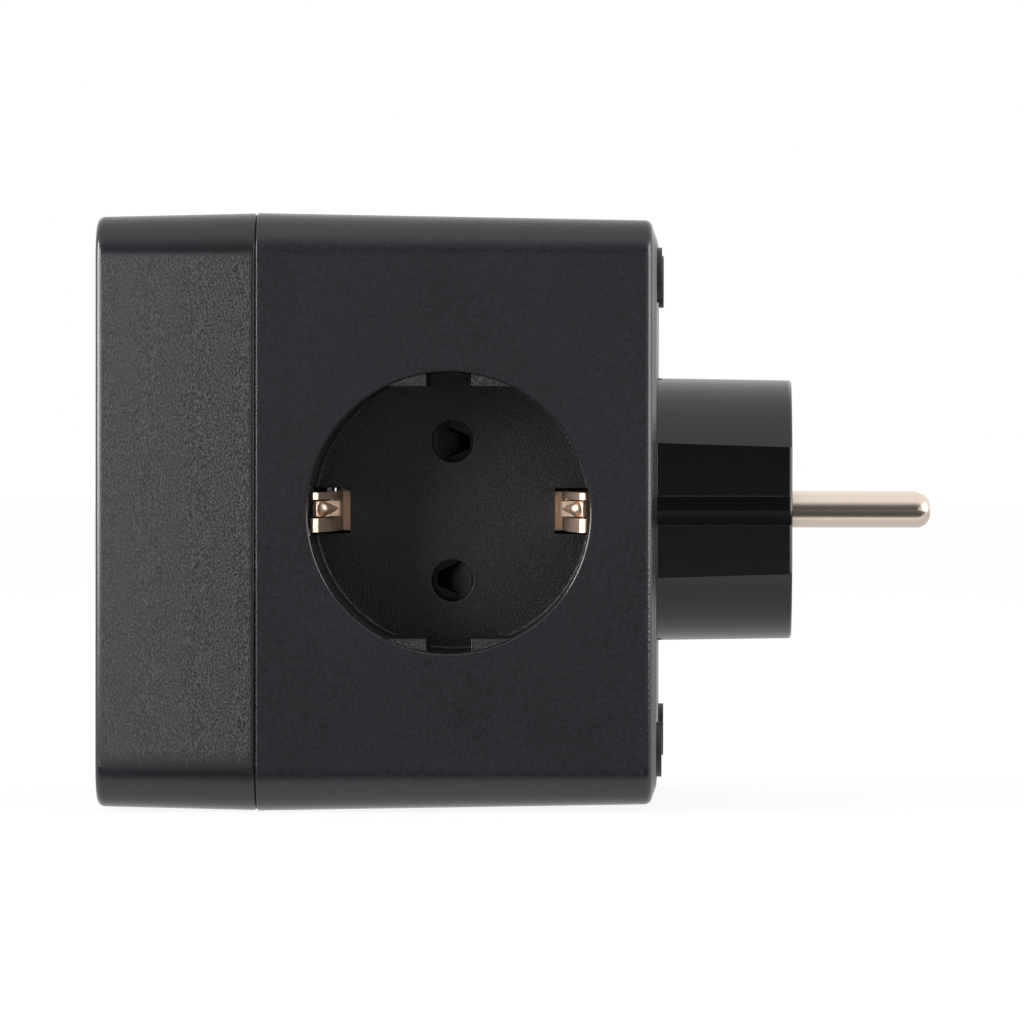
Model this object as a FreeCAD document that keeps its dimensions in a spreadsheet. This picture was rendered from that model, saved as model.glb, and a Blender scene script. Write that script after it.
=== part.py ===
import FreeCAD, Part
import math
import os
import re

import Sketcher

# Cube adapter: three earthed sockets on a round plug, with a charger module in the front cap.
# Frame: origin in the middle of the plug's face, +Y along the pins towards the wall, +Z up.

V = FreeCAD.Vector
doc = FreeCAD.newDocument("cube_adapter")

# Driving sizes in millimetres, draft angles in degrees. Distances along Y count from the plug's face.
SIZES = {
    # casing
    "seam_distance": 72.2, "plateau_distance": 18.5, "seam_width": 80.4, "body_draft": 1.03,
    "corner_radius": 6.0, "bevel_depth": 0.85, "bevel_inset": 2.45, "bevel_round": 1.0,
    "seam_bevel": 0.2, "mouth_round": 0.25, "side_wall": 3.3, "back_wall": 2.6,
    # front cap
    "cap_depth": 21.5, "cap_step": 0.05, "cap_draft": 1.3, "cap_edge_round": 1.0,
    "cap_wall": 2.8, "front_wall": 2.2, "lip_depth": 3.0, "lip_thickness": 1.2, "lip_gap": 0.15,
    "lip_root": 0.1,
    # screws, wells and pads at the corners
    "corner_inset": 4.97, "well_wall": 1.2, "well_bore": 3.5, "well_short": 14.2, "seat_thickness": 2.0,
    "screw_shank": 1.45, "screw_play": 0.35, "screw_length": 14.0, "screw_head_radius": 3.1,
    "screw_head_height": 2.4, "boss_wall": 2.05, "boss_bore_depth": 20.0, "thread_fit": 0.02,
    "pad_reach": 0.2, "pad_height": 0.7, "pad_stem": 4.0, "pad_fit": 0.05,
    # round plug
    "plug_face_radius": 18.1, "plug_taper": 0.28, "plug_round": 0.5, "flat_depth": 2.2,
    "rib_width": 4.0, "flange_reach": 2.4, "plug_flange": 2.0, "plug_fit": 0.1,
    "channel_fit": 0.5, "channel_depth": 2.65, "pin_spacing": 19.0, "pin_radius": 2.4,
    "pin_length": 19.0, "pin_dome": 1.9, "pin_shoulder": 0.2, "pin_rivet": 0.6, "neck_shoulder": 0.3,
    "pin_fit": 0.05, "pin_seat": 0.3, "earth_hole_radius": 2.9, "earth_hole_place": 10.0,
    "earth_hole_lip": 4.0, "sleeve_play": 0.2, "sleeve_wall": 0.5,
    # sockets: heights along a socket's axis count outwards from the cube's middle
    "socket_distance": 46.3, "recess_radius": 18.9, "cup_wall": 0.75, "rim_fit": 0.05,
    "recess_depth": 17.5, "floor_thickness": 2.0, "floor_round": 0.5, "cup_flange_reach": 1.85,
    "cup_flange": 1.2, "hole_radius": 2.8, "hole_round": 0.22, "ridge_height": 1.95,
    "ridge_gap": 6.1, "ridge_drop": 0.15, "window_play": 0.45, "window_relief": 0.1, "skirt_gap": 1.3,
    "skirt_wall": 0.9, "skirt_depth": 4.0, "hub_pin_radius": 2.5, "hub_pin_gap": 0.1,
    # shutters under the socket floors
    "shutter_fit": 0.06, "shutter_gap": 0.3, "shutter_height": 3.2, "shutter_hub": 4.4,
    "blade_behind": 3.6, "blade_neck": 0.6, "neck_half": 2.05, "blade_tip": 2.15, "tip_half": 0.85,
    "tip_shift": 0.2, "tip_bevel": 0.3, "blade_cover": 0.7, "hub_plate": 1.3, "spring_room": 3.75,
    "slope_start": 2.4, "slope_end": 2.8, "slope_drop": 2.4, "ledge_height": 0.5,
    "ledge_root": 2.2, "ledge_reach": 2.85,
    "spring_radius": 3.2, "spring_wire": 0.22, "spring_turns": 3.0, "spring_pitch": 0.55,
    "spring_leg": 3.0, "spring_clear": 0.03,
    # contact carriers
    "carrier_rim": 1.0, "carrier_thickness": 3.0, "carrier_step": 2.0, "carrier_flange": 0.8,
    "carrier_hole": 2.5,
    # earth strips
    "earth_strip": 0.6, "earth_width": 5.35, "leg_gap": 0.3, "foot_length": 1.7, "clip_lean": 1.0,
    "clip_drop": 9.0, "clip_top_drop": 0.6, "clip_bend": 0.4, "clip_flare": 0.65,
    "tongue_width": 2.1, "tongue_slot": 0.2, "tongue_shift": 0.45, "tongue_low": 2.0,
    "tongue_reach": 4.0, "tongue_rise": 6.8, "tongue_drop": 3.6, "tongue_back": 0.2,
    "tongue_bend": 1.5, "bead_radius": 1.1, "bead_length": 4.6, "bead_inset": 1.32,
    "bead_start": 0.125, "strip_lift": 0.1,
    # busbars
    "bar_thickness": 0.8, "bar_gap": 0.234, "contact_length": 8.6, "contact_gap": 0.1,
    "leaf_fit": 0.1, "leaf_thickness": 0.7, "strap_half": 3.0, "tail_gap": 2.1, "feed_reach": 2.7,
    # plug earth bracket and link
    "bracket_thickness": 0.8, "link_thickness": 0.8, "arm_gap": 3.1, "arm_width": 4.0,
    "web_half": 4.6, "prong_start": 1.5, "prong_lift": 0.2, "leg_clear": 1.8, "wire_tab": 1.1,
    # wires
    "wire_radius": 0.9, "wire_gap": 0.1, "feed_low": 5.0,
    # charger module
    "board_gap": 2.0, "board_thickness": 1.6, "board_depth": 13.4, "post_inset": 5.0,
    "post_radius": 2.8, "post_bore": 0.95, "board_play": 0.35, "board_screw_head": 2.1,
    "board_screw_length": 7.0, "board_screw_height": 1.5,
    "port_wide": 13.1, "port_high": 5.7, "port_sheet": 0.35, "port_fit": 0.15, "port_recess": 0.4,
    "port_step": 10.0, "tongue_thick": 1.9, "tongue_side": 0.65, "port_block": 1.6,
    "tongue_short": 1.0, "tongue_lift": 0.1, "block_fit": 0.05,
    "slim_port_wide": 9.0, "slim_port_high": 3.3, "slim_tongue_thick": 0.7, "slim_tongue_side": 0.8,
    "transformer_wide": 18.0, "transformer_high": 16.0, "transformer_deep": 9.0, "bobbin_inset": 3.0,
    "core_height": 2.25, "yoke_height": 8.1, "part_gap": 2.0, "can_gap": 2.0, "choke_inset": 4.0,
    "can_radius": 4.0, "can_height": 10.0, "choke_radius": 3.5, "choke_height": 8.0,
}
# Values worked out from the driving sizes.
DERIVED = {
    # casing and cap
    "cap_width": "seam_width - 2 * cap_step",
    "cavity_half": "seam_width / 2 - side_wall",
    "back_inside": "plateau_distance + back_wall",
    "front_distance": "seam_distance + cap_depth",
    "front_inside": "front_distance - front_wall",
    "cap_inner_half": "cap_width / 2 - cap_wall",
    "lip_half": "cavity_half - lip_gap",
    "corner_place": "cavity_half - corner_inset",
    "well_radius": "well_bore + well_wall",
    "well_end": "seam_distance - well_short",
    "boss_radius": "screw_shank + boss_wall",
    # plug
    "plug_base_radius": "plug_face_radius + plug_taper",
    "plug_flange_radius": "plug_base_radius + flange_reach",
    "plug_flat": "plug_face_radius - flat_depth",
    "flange_inside": "back_inside + plug_flange",
    "channel_floor": "plug_face_radius - channel_depth",
    "channel_half": "earth_width / 2 + channel_fit",
    "pin_place": "pin_spacing / 2",
    "pin_root_radius": "pin_radius - pin_shoulder",
    "pin_neck_radius": "pin_root_radius - neck_shoulder",
    "pin_neck_length": "bar_thickness + pin_rivet",
    "pin_tail": "tail_place + pin_neck_length",
    "sleeve_radius": "earth_hole_radius + sleeve_play + sleeve_wall",
    # sockets
    "side_half": "seam_width / 2 - (seam_distance - socket_distance) * tan(body_draft)",
    "floor_top": "side_half - recess_depth",
    "floor_under": "floor_top - floor_thickness",
    "rim_radius": "recess_radius + cup_wall",
    "cup_flange_radius": "rim_radius + cup_flange_reach",
    "ridge_face": "recess_radius - ridge_height",
    "ridge_out": "recess_radius + cup_wall / 2",
    "ridge_end": "sqrt(pow(ridge_out; 2) - pow(ridge_face; 2))",
    "ridge_bend": "ridge_end * 0.7",
    "window_start": "earth_leg + earth_strip / 2",
    "window_end": "recess_radius + window_relief",
    "window_half": "earth_width / 2 + window_play",
    "skirt_inner": "carrier_radius + skirt_gap",
    "carrier_top": "floor_under - skirt_depth",
    "carrier_under": "carrier_top - carrier_thickness",
    "carrier_radius": "pin_place + carrier_hole + carrier_rim",
    "groove_floor": "carrier_top - carrier_flange",
    "groove_half": "earth_width / 2 + strip_lift",
    "groove_reach": "1.2 * (carrier_radius + carrier_step)",
    "shutter_top": "floor_under - shutter_gap",
    "shutter_under": "shutter_top - shutter_height",
    "tip_place": "pin_place - tip_shift",
    "blade_inner": "pin_place - hole_radius - blade_cover",
    "blade_outer": "pin_place + hole_radius",
    # earth strips
    "earth_plane": "groove_floor + strip_lift + earth_strip / 2",
    "earth_leg": "carrier_radius + leg_gap + earth_strip / 2",
    "foot_plane": "floor_under - strip_lift - earth_strip / 2",
    "clip_top": "side_half - clip_top_drop",
    "clip_outer": "sqrt(pow(recess_radius; 2) - pow(earth_width / 2; 2)) - rim_fit - earth_strip / 2",
    # busbars, bracket and link
    "bar_outer": "carrier_under - bar_gap",
    "bar_place": "bar_outer - bar_thickness",
    "contact_top": "carrier_under - contact_gap",
    "contact_end": "contact_top - contact_length",
    "leaf_place": "pin_radius + leaf_fit",
    "leaf_outer": "leaf_place + leaf_thickness",
    "leaf_tip": "pin_place - pin_radius - leaf_fit",
    "bracket_back": "flange_inside + bracket_thickness",
    "link_back": "bracket_back + link_thickness",
    "tail_place": "link_back + tail_gap",
    "arm_high": "pin_radius + arm_gap",
    "arm_low": "arm_high + arm_width",
    "leg_turn": "socket_distance - carrier_radius - carrier_step - leg_clear",
    "strap_inner": "pin_place - strap_half",
    "strap_outer": "pin_place + strap_half",
    "wire_height": "groove_floor - wire_gap - wire_radius",
    "wire_side": "carrier_radius + wire_gap + wire_radius",
    "feed_end": "socket_distance + carrier_radius + feed_reach",
    # charger module
    "board_front": "front_distance - board_depth",
    "board_back": "board_front - board_thickness",
    "board_half": "corner_place - boss_radius - board_gap",
    "post_place": "board_half - post_inset",
}


def fill_sheet(sizes):
    """The sheet holds each driving size in a cell that carries its name."""
    table = doc.addObject("Spreadsheet::Sheet", "sizes")
    for row, (name, number) in enumerate(sizes.items(), start=1):
        table.set(f"A{row}", name)
        table.set(f"B{row}", str(number))
        table.setAlias(f"B{row}", name)
    doc.recompute()
    return table


sheet = fill_sheet(SIZES)


def bound(text):
    """An expression over the sheet, with derived values written out."""
    def word(match):
        name = match[0]
        if name in DERIVED:
            return "(" + bound(DERIVED[name]) + ")"
        return "sizes." + name if name in SIZES else name
    return re.sub(r"[a-z][a-z_]*", word, str(text))


def worth(text):
    """The number that an expression over the sheet comes to."""
    return float(sheet.evalExpression(bound(text).replace("sizes.", "")))


class Piece:
    """One body with its sketches and features, whose sizes are all expressions over the sheet."""

    def __init__(self, label):
        self.body = doc.addObject("PartDesign::Body", label)
        self.body.Label = label
        self.volume = 0.0

    def origin(self, role):
        return next(o for o in self.body.Origin.OriginFeatures if o.Role == role)

    def sketch(self, plane, height="0"):
        """An empty sketch parallel to an origin plane, at a height along that plane's normal."""
        sketch = self.body.newObject("Sketcher::SketchObject", "sketch")
        sketch.AttachmentSupport = [(self.origin(plane + "_Plane"), "")]
        sketch.MapMode = "FlatFace"
        sketch.setExpression("AttachmentOffset.Base.z", bound(height))
        return sketch

    def finish(self, feature):
        """Recompute after a new feature and make sure that it changed the solid."""
        self.body.Tip = feature
        doc.recompute()
        if feature.Shape.isNull() or abs(feature.Shape.Volume - self.volume) < 1e-4:
            raise RuntimeError(f"{self.body.Label}: {feature.Name} changed nothing")
        self.volume = feature.Shape.Volume
        return feature

    def extrude(self, kind, sketch, length, back=False, middle=False, taper=None):
        feature = self.body.newObject("PartDesign::" + kind, kind)
        feature.Profile = sketch
        feature.setExpression("Length", bound(length))
        feature.Reversed = back
        if middle:
            feature.Midplane = True
        if taper is not None:
            feature.setExpression("TaperAngle", bound(taper))
        return self.finish(feature)

    def pad(self, sketch, length, back=False, middle=False, taper=None):
        return self.extrude("Pad", sketch, length, back, middle, taper)

    def pocket(self, sketch, length, back=False, middle=False):
        return self.extrude("Pocket", sketch, length, back, middle)

    def around(self, features, axis, count):
        """Repeat features round an origin axis."""
        pattern = self.body.newObject("PartDesign::PolarPattern", "around")
        pattern.Originals = features
        pattern.Axis = (self.origin(axis + "_Axis"), [""])
        pattern.Angle = 360
        pattern.Occurrences = count
        return self.finish(pattern)

    def edges(self, test):
        """Names of the tip's edges whose every vertex and middle pass a test."""
        found = []
        for number, edge in enumerate(self.body.Tip.Shape.Edges, start=1):
            if edge.Length < 1e-6:
                continue
            middle = edge.valueAt((edge.FirstParameter + edge.LastParameter) / 2)
            if all(test(p) for p in [v.Point for v in edge.Vertexes] + [middle]):
                found.append(f"Edge{number}")
        return found

    def fillet(self, test, radius):
        base = (self.body.Tip, self.edges(test))
        feature = self.body.newObject("PartDesign::Fillet", "fillet")
        feature.Base = base
        feature.setExpression("Radius", bound(radius))
        return self.finish(feature)

    def chamfer(self, test, size, second=None):
        base = (self.body.Tip, self.edges(test))
        feature = self.body.newObject("PartDesign::Chamfer", "chamfer")
        feature.Base = base
        feature.setExpression("Size", bound(size))
        if second is not None:
            feature.ChamferType = "Two distances"
            feature.setExpression("Size2", bound(second))
        return self.finish(feature)


def pin_point(sketch, geometry, end, x, y):
    """Hold one point of a sketch at a place given by two expressions."""
    for kind, text, on_axis in (("DistanceX", x, -2), ("DistanceY", y, -1)):
        if abs(worth(text)) < 1e-9 and text == "0":
            sketch.addConstraint(Sketcher.Constraint("PointOnObject", geometry, end, on_axis))
            continue
        row = sketch.addConstraint(Sketcher.Constraint(kind, -1, 1, geometry, end, worth(text)))
        sketch.setExpression(f"Constraints[{row}]", bound(text))


def loop(sketch, corners):
    """A closed run of straight lines through corners given as pairs of expressions."""
    points = [V(worth(x), worth(y), 0) for x, y in corners]
    lines = []
    for start, end in zip(points, points[1:] + points[:1]):
        lines.append(sketch.addGeometry(Part.LineSegment(start, end)))
    for one, after in zip(lines, lines[1:] + lines[:1]):
        sketch.addConstraint(Sketcher.Constraint("Coincident", one, 2, after, 1))
    for line, (x, y) in zip(lines, corners):
        pin_point(sketch, line, 1, x, y)
    return sketch


def box(sketch, low_x, high_x, low_y, high_y):
    return loop(sketch, [(low_x, low_y), (high_x, low_y), (high_x, high_y), (low_x, high_y)])


def circle(sketch, x, y, radius):
    shape = Part.Circle(V(worth(x), worth(y), 0), V(0, 0, 1), worth(radius))
    ring = sketch.addGeometry(shape)
    pin_point(sketch, ring, 3, x, y)
    row = sketch.addConstraint(Sketcher.Constraint("Radius", ring, worth(radius)))
    sketch.setExpression(f"Constraints[{row}]", bound(radius))
    return sketch


def rounded_square(sketch, half, radius):
    """A square about the origin with round corners."""
    h, r = worth(half), worth(radius)
    sides = []
    for quarter in range(4):
        turned = FreeCAD.Rotation(V(0, 0, 1), 90 * quarter)
        ends = [turned.multVec(V(x, -h, 0)) for x in (r - h, h - r)]
        sides.append(sketch.addGeometry(Part.LineSegment(*ends)))
        middle = turned.multVec(V(h - r, r - h, 0))
        first = math.radians(90 * (quarter - 1))
        corner = Part.ArcOfCircle(Part.Circle(middle, V(0, 0, 1), r), first, first + math.pi / 2)
        sides.append(sketch.addGeometry(corner))
    for one, after in zip(sides, sides[1:] + sides[:1]):
        sketch.addConstraint(Sketcher.Constraint("Tangent", one, 2, after, 1))
    for number, side in enumerate(sides[0::2]):
        flat, kind, sign = [("Horizontal", "DistanceY", "-"), ("Vertical", "DistanceX", ""),
                            ("Horizontal", "DistanceY", ""), ("Vertical", "DistanceX", "-")][number]
        sketch.addConstraint(Sketcher.Constraint(flat, side))
        place = worth(half) * (-1 if sign else 1)
        row = sketch.addConstraint(Sketcher.Constraint(kind, -1, 1, side, 1, place))
        sketch.setExpression(f"Constraints[{row}]", sign + "(" + bound(half) + ")")
    for corner in sides[3::2]:
        sketch.addConstraint(Sketcher.Constraint("Equal", sides[1], corner))
    row = sketch.addConstraint(Sketcher.Constraint("Radius", sides[1], r))
    sketch.setExpression(f"Constraints[{row}]", bound(radius))
    return sketch


def inner_radius(half, outer_half):
    """Corner radius of a shell's inside, so that its wall keeps its thickness round the corner."""
    return f"corner_radius - ({outer_half} - ({half}))"


def at_y(place):
    """A test for points at a distance behind the plug's face."""
    return lambda p: abs(p.y + worth(place)) < 1e-3


def main_housing():
    """Tapered square tube with a closed back, three round openings and four screw wells."""
    piece = Piece("main_housing")
    outline = rounded_square(piece.sketch("XZ", "seam_distance"), "seam_width / 2", "corner_radius")
    piece.pad(outline, "seam_distance - plateau_distance", back=True, taper="-body_draft")
    piece.chamfer(at_y("plateau_distance"), "bevel_depth", "bevel_inset")
    piece.fillet(at_y("plateau_distance + bevel_depth"), "bevel_round")
    inside = rounded_square(piece.sketch("XZ", "seam_distance"), "cavity_half",
                            inner_radius("cavity_half", "seam_width / 2"))
    piece.pocket(inside, "seam_distance - back_inside")
    tube = circle(piece.sketch("XZ", "back_inside"), "corner_place", "corner_place", "well_radius")
    well = piece.pad(tube, "well_end - back_inside")
    bore = circle(piece.sketch("XZ", "plateau_distance"), "corner_place", "corner_place", "well_bore")
    hole = piece.pocket(bore, "well_end - seat_thickness - plateau_distance", back=True)
    small = circle(piece.sketch("XZ", "plateau_distance"), "corner_place", "corner_place",
                   "screw_shank + screw_play")
    through = piece.pocket(small, "well_end - plateau_distance + 1", back=True)
    piece.around([well, hole, through], "Y", 4)
    for plane, reach, back in (("YZ", "seam_width", True), ("XY", "seam_width / 2 + 1", True)):
        opening = circle(piece.sketch(plane), "-socket_distance" if plane == "YZ" else "0",
                         "0" if plane == "YZ" else "-socket_distance", "recess_radius")
        piece.pocket(opening, reach, back=back, middle=plane == "YZ")
    middle, mouth = worth("socket_distance"), worth("recess_radius")
    outside = worth("cavity_half") + 0.5
    piece.fillet(lambda p: max(abs(p.x), p.z) > outside and
                 abs(math.hypot(p.y + middle, min(abs(p.x), abs(p.z))) - mouth) < 0.01, "mouth_round")
    entry = circle(piece.sketch("XZ", "back_inside"), "0", "0", "plug_base_radius + plug_fit")
    piece.pocket(entry, "back_wall + 1")
    seam = at_y("seam_distance")
    half = worth("seam_width / 2") - 1
    piece.chamfer(lambda p: seam(p) and max(abs(p.x), abs(p.z)) > half - worth("corner_radius") / 2
                  and max(abs(p.x), abs(p.z)) > worth("cavity_half") + 0.5, "seam_bevel")
    return piece


SOCKETS = {
    "right": {"turn": FreeCAD.Rotation(V(0, 1, 0), V(0, 0, 1), V(1, 0, 0), "ZXY"), "slope": ("XZ", 1)},
    "left": {"turn": FreeCAD.Rotation(V(0, -1, 0), V(0, 0, 1), V(-1, 0, 0), "ZXY"), "slope": ("XZ", -1)},
    "top": {"turn": FreeCAD.Rotation(), "slope": ("YZ", 1)},
}


def into_socket(thing, side):
    """Turn a piece made about its own +Z into a socket's place. Its Y is the line of the pin holes."""
    thing.Placement = FreeCAD.Placement(V(0, 0, 0), SOCKETS[side]["turn"])
    thing.setExpression("Placement.Base.y", bound("-socket_distance"))


def front_cap():
    """Tapered cap with a spigot lip, four screw bosses, four board posts and the port openings."""
    piece = Piece("front_cap")
    outline = rounded_square(piece.sketch("XZ", "seam_distance"), "cap_width / 2", "corner_radius")
    piece.pad(outline, "cap_depth", taper="-cap_draft")
    piece.fillet(at_y("front_distance"), "cap_edge_round")
    inside = rounded_square(piece.sketch("XZ", "seam_distance"), "cap_inner_half",
                            inner_radius("cap_inner_half", "cap_width / 2"))
    piece.pocket(inside, "cap_depth - front_wall", back=True)
    ring = rounded_square(piece.sketch("XZ", "seam_distance + lip_depth"), "cap_inner_half + lip_root",
                          inner_radius("cap_inner_half + lip_root", "cap_width / 2"))
    rounded_square(ring, "lip_half - lip_thickness",
                   inner_radius("lip_half - lip_thickness", "cap_width / 2"))
    piece.pad(ring, "lip_depth", back=True)
    lip = rounded_square(piece.sketch("XZ", "seam_distance"), "lip_half",
                         inner_radius("lip_half", "cap_width / 2"))
    rounded_square(lip, "lip_half - lip_thickness",
                   inner_radius("lip_half - lip_thickness", "cap_width / 2"))
    piece.pad(lip, "lip_depth", back=True)
    column = circle(piece.sketch("XZ", "front_inside"), "corner_place", "corner_place", "boss_radius")
    boss = piece.pad(column, "front_inside - well_end", back=True)
    pilot = circle(piece.sketch("XZ", "well_end"), "corner_place", "corner_place", "screw_shank + thread_fit")
    bore = piece.pocket(pilot, "boss_bore_depth", back=True)
    stud = circle(piece.sketch("XZ", "front_inside"), "post_place", "post_place", "post_radius")
    post = piece.pad(stud, "front_inside - board_front", back=True)
    small = circle(piece.sketch("XZ", "board_front"), "post_place", "post_place", "post_bore + thread_fit")
    post_hole = piece.pocket(small, "board_screw_length", back=True)
    piece.around([boss, bore, post, post_hole], "Y", 4)
    mouths = piece.sketch("XZ", "front_distance")
    for place in ("port_step", "0"):
        port_outline(mouths, place, "port_wide / 2 + port_fit", "port_high / 2 + port_fit")
    port_outline(mouths, "-port_step", "slim_port_wide / 2 + port_fit", "slim_port_high / 2 + port_fit")
    piece.pocket(mouths, "front_wall + 0.5")
    seam = at_y("seam_distance")
    piece.chamfer(lambda p: seam(p) and max(abs(p.x), abs(p.z)) > worth("cavity_half") + 1, "seam_bevel")
    return piece


def port_outline(sketch, place, half_wide, half_high):
    """A rectangle of a port, centred across the cap at a height."""
    return box(sketch, f"-({half_wide})", half_wide, f"{place} - ({half_high})", f"{place} + {half_high}")


def plug_body():
    """Round plug with side flats and ribs, earth channels, pin bores and a flange inside the casing."""
    piece = Piece("plug_body")
    face = circle(piece.sketch("XZ"), "0", "0", "plug_face_radius")
    piece.pad(face, "plateau_distance",
              taper="atan((plug_base_radius - plug_face_radius) / plateau_distance)")
    collar = circle(piece.sketch("XZ", "plateau_distance"), "0", "0", "plug_base_radius")
    piece.pad(collar, "back_wall")
    flange = circle(piece.sketch("XZ", "back_inside"), "0", "0", "plug_flange_radius")
    piece.pad(flange, "plug_flange")
    flats = piece.sketch("XZ")
    far = "plug_flange_radius"
    for side in ("", "-"):
        for low, high in (("rib_width / 2", far), (f"-{far}", "-rib_width / 2")):
            box(flats, f"{side}plug_flat", f"{side}{far}", low, high)
    piece.pocket(flats, "plateau_distance", back=True)
    piece.fillet(at_y("0"), "plug_round")
    channels = piece.sketch("XZ")
    for side in ("", "-"):
        box(channels, "-channel_half", "channel_half", f"{side}channel_floor", f"{side}{far} * 1.1")
    piece.pocket(channels, "flange_inside + 1", back=True)
    bores = piece.sketch("XZ")
    for side in ("", "-"):
        circle(bores, f"{side}pin_place", "0", "pin_root_radius + pin_fit")
    circle(bores, "0", "earth_hole_place", "earth_hole_radius")
    piece.pocket(bores, "flange_inside + 1", back=True)
    seats = piece.sketch("XZ")
    for side in ("", "-"):
        circle(seats, f"{side}pin_place", "0", "pin_radius + pin_fit")
    piece.pocket(seats, "pin_seat", back=True)
    wide = circle(piece.sketch("XZ", "flange_inside"), "0", "earth_hole_place", "sleeve_radius + pin_fit")
    piece.pocket(wide, "flange_inside - earth_hole_lip")
    return piece


def plug_pin(label, side):
    """Round pin with a domed tip and a riveted neck at its inner end."""
    piece = Piece(label)
    root = circle(piece.sketch("XZ"), f"{side}pin_place", "0", "pin_root_radius")
    piece.pad(root, "pin_tail - pin_neck_length")
    shank = circle(piece.sketch("XZ"), f"{side}pin_place", "0", "pin_radius")
    piece.pad(shank, "pin_length", back=True)
    piece.fillet(at_y("-pin_length"), "pin_dome")
    neck = circle(piece.sketch("XZ", "pin_tail"), f"{side}pin_place", "0", "pin_neck_radius")
    piece.pad(neck, "pin_neck_length", back=True)
    return piece


def socket_cup(side):
    """Recess of one socket: rim, ridges, floor with pin holes, clip windows, flange, skirt and hub pin."""
    piece = Piece("socket_cup_" + side)
    wall = circle(piece.sketch("XY", "floor_under"), "0", "0", "rim_radius")
    piece.pad(wall, "cavity_half - floor_under")
    flange = circle(piece.sketch("XY", "cavity_half - cup_flange"), "0", "0", "cup_flange_radius")
    piece.pad(flange, "cup_flange")
    recess = circle(piece.sketch("XY", "floor_top"), "0", "0", "recess_radius")
    piece.pocket(recess, "recess_depth", back=True)
    level, edge = worth("floor_top"), worth("recess_radius")
    piece.fillet(lambda p: abs(p.z - level) < 1e-3 and abs(math.hypot(p.x, p.y) - edge) < 1e-3, "floor_round")
    ridges = piece.sketch("XY", "floor_top")
    for across in ("", "-"):
        for along in ("", "-"):
            loop(ridges, [(f"{across}{x}", f"{along}{y}") for x, y in (
                ("ridge_gap / 2", "ridge_face"), ("ridge_end", "ridge_face"),
                ("ridge_bend", "sqrt(pow(ridge_out; 2) - pow(ridge_bend; 2))"),
                ("ridge_gap / 2", "sqrt(pow(ridge_out; 2) - pow(ridge_gap / 2; 2))"))])
    piece.pad(ridges, "recess_depth + 1")
    neck = circle(piece.sketch("XY", "cavity_half"), "0", "0", "recess_radius - rim_fit")
    circle(neck, "0", "0", "rim_radius + 1")
    piece.pocket(neck, "recess_depth", back=True)
    plane, sign = SOCKETS[side]["slope"]
    reach, top = "rim_radius", "side_half - ridge_drop"
    trim = loop(piece.sketch(plane), [
        (f"-{reach}", f"{top} + {sign} * {reach} * tan(body_draft)"),
        (reach, f"{top} - {sign} * {reach} * tan(body_draft)"),
        (reach, "side_half + 2"), (f"-{reach}", "side_half + 2")])
    piece.pocket(trim, "2 * rim_radius", middle=True)
    skirt = circle(piece.sketch("XY", "carrier_top"), "0", "0", "skirt_inner + skirt_wall")
    circle(skirt, "0", "0", "skirt_inner")
    piece.pad(skirt, "skirt_depth")
    hub = circle(piece.sketch("XY", "carrier_top + hub_pin_gap"), "0", "0", "hub_pin_radius")
    piece.pad(hub, "skirt_depth - hub_pin_gap")
    windows = piece.sketch("XY", "carrier_top - 1")
    for sign in ("", "-"):
        box(windows, f"{sign}window_start", f"{sign}window_end", "-window_half", "window_half")
    piece.pocket(windows, "cavity_half - carrier_top + 1", back=True)
    holes = piece.sketch("XY", "floor_under")
    for sign in ("", "-"):
        circle(holes, "0", f"{sign}pin_place", "hole_radius")
    piece.pocket(holes, "floor_thickness + 1", back=True)
    place, ring = worth("pin_place"), worth("hole_radius")
    piece.fillet(lambda p: abs(p.z - level) < 1e-3 and abs(math.hypot(p.x, abs(p.y) - place) - ring) < 1e-3,
                 "hole_round")
    into_socket(piece.body, side)
    return piece


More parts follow.
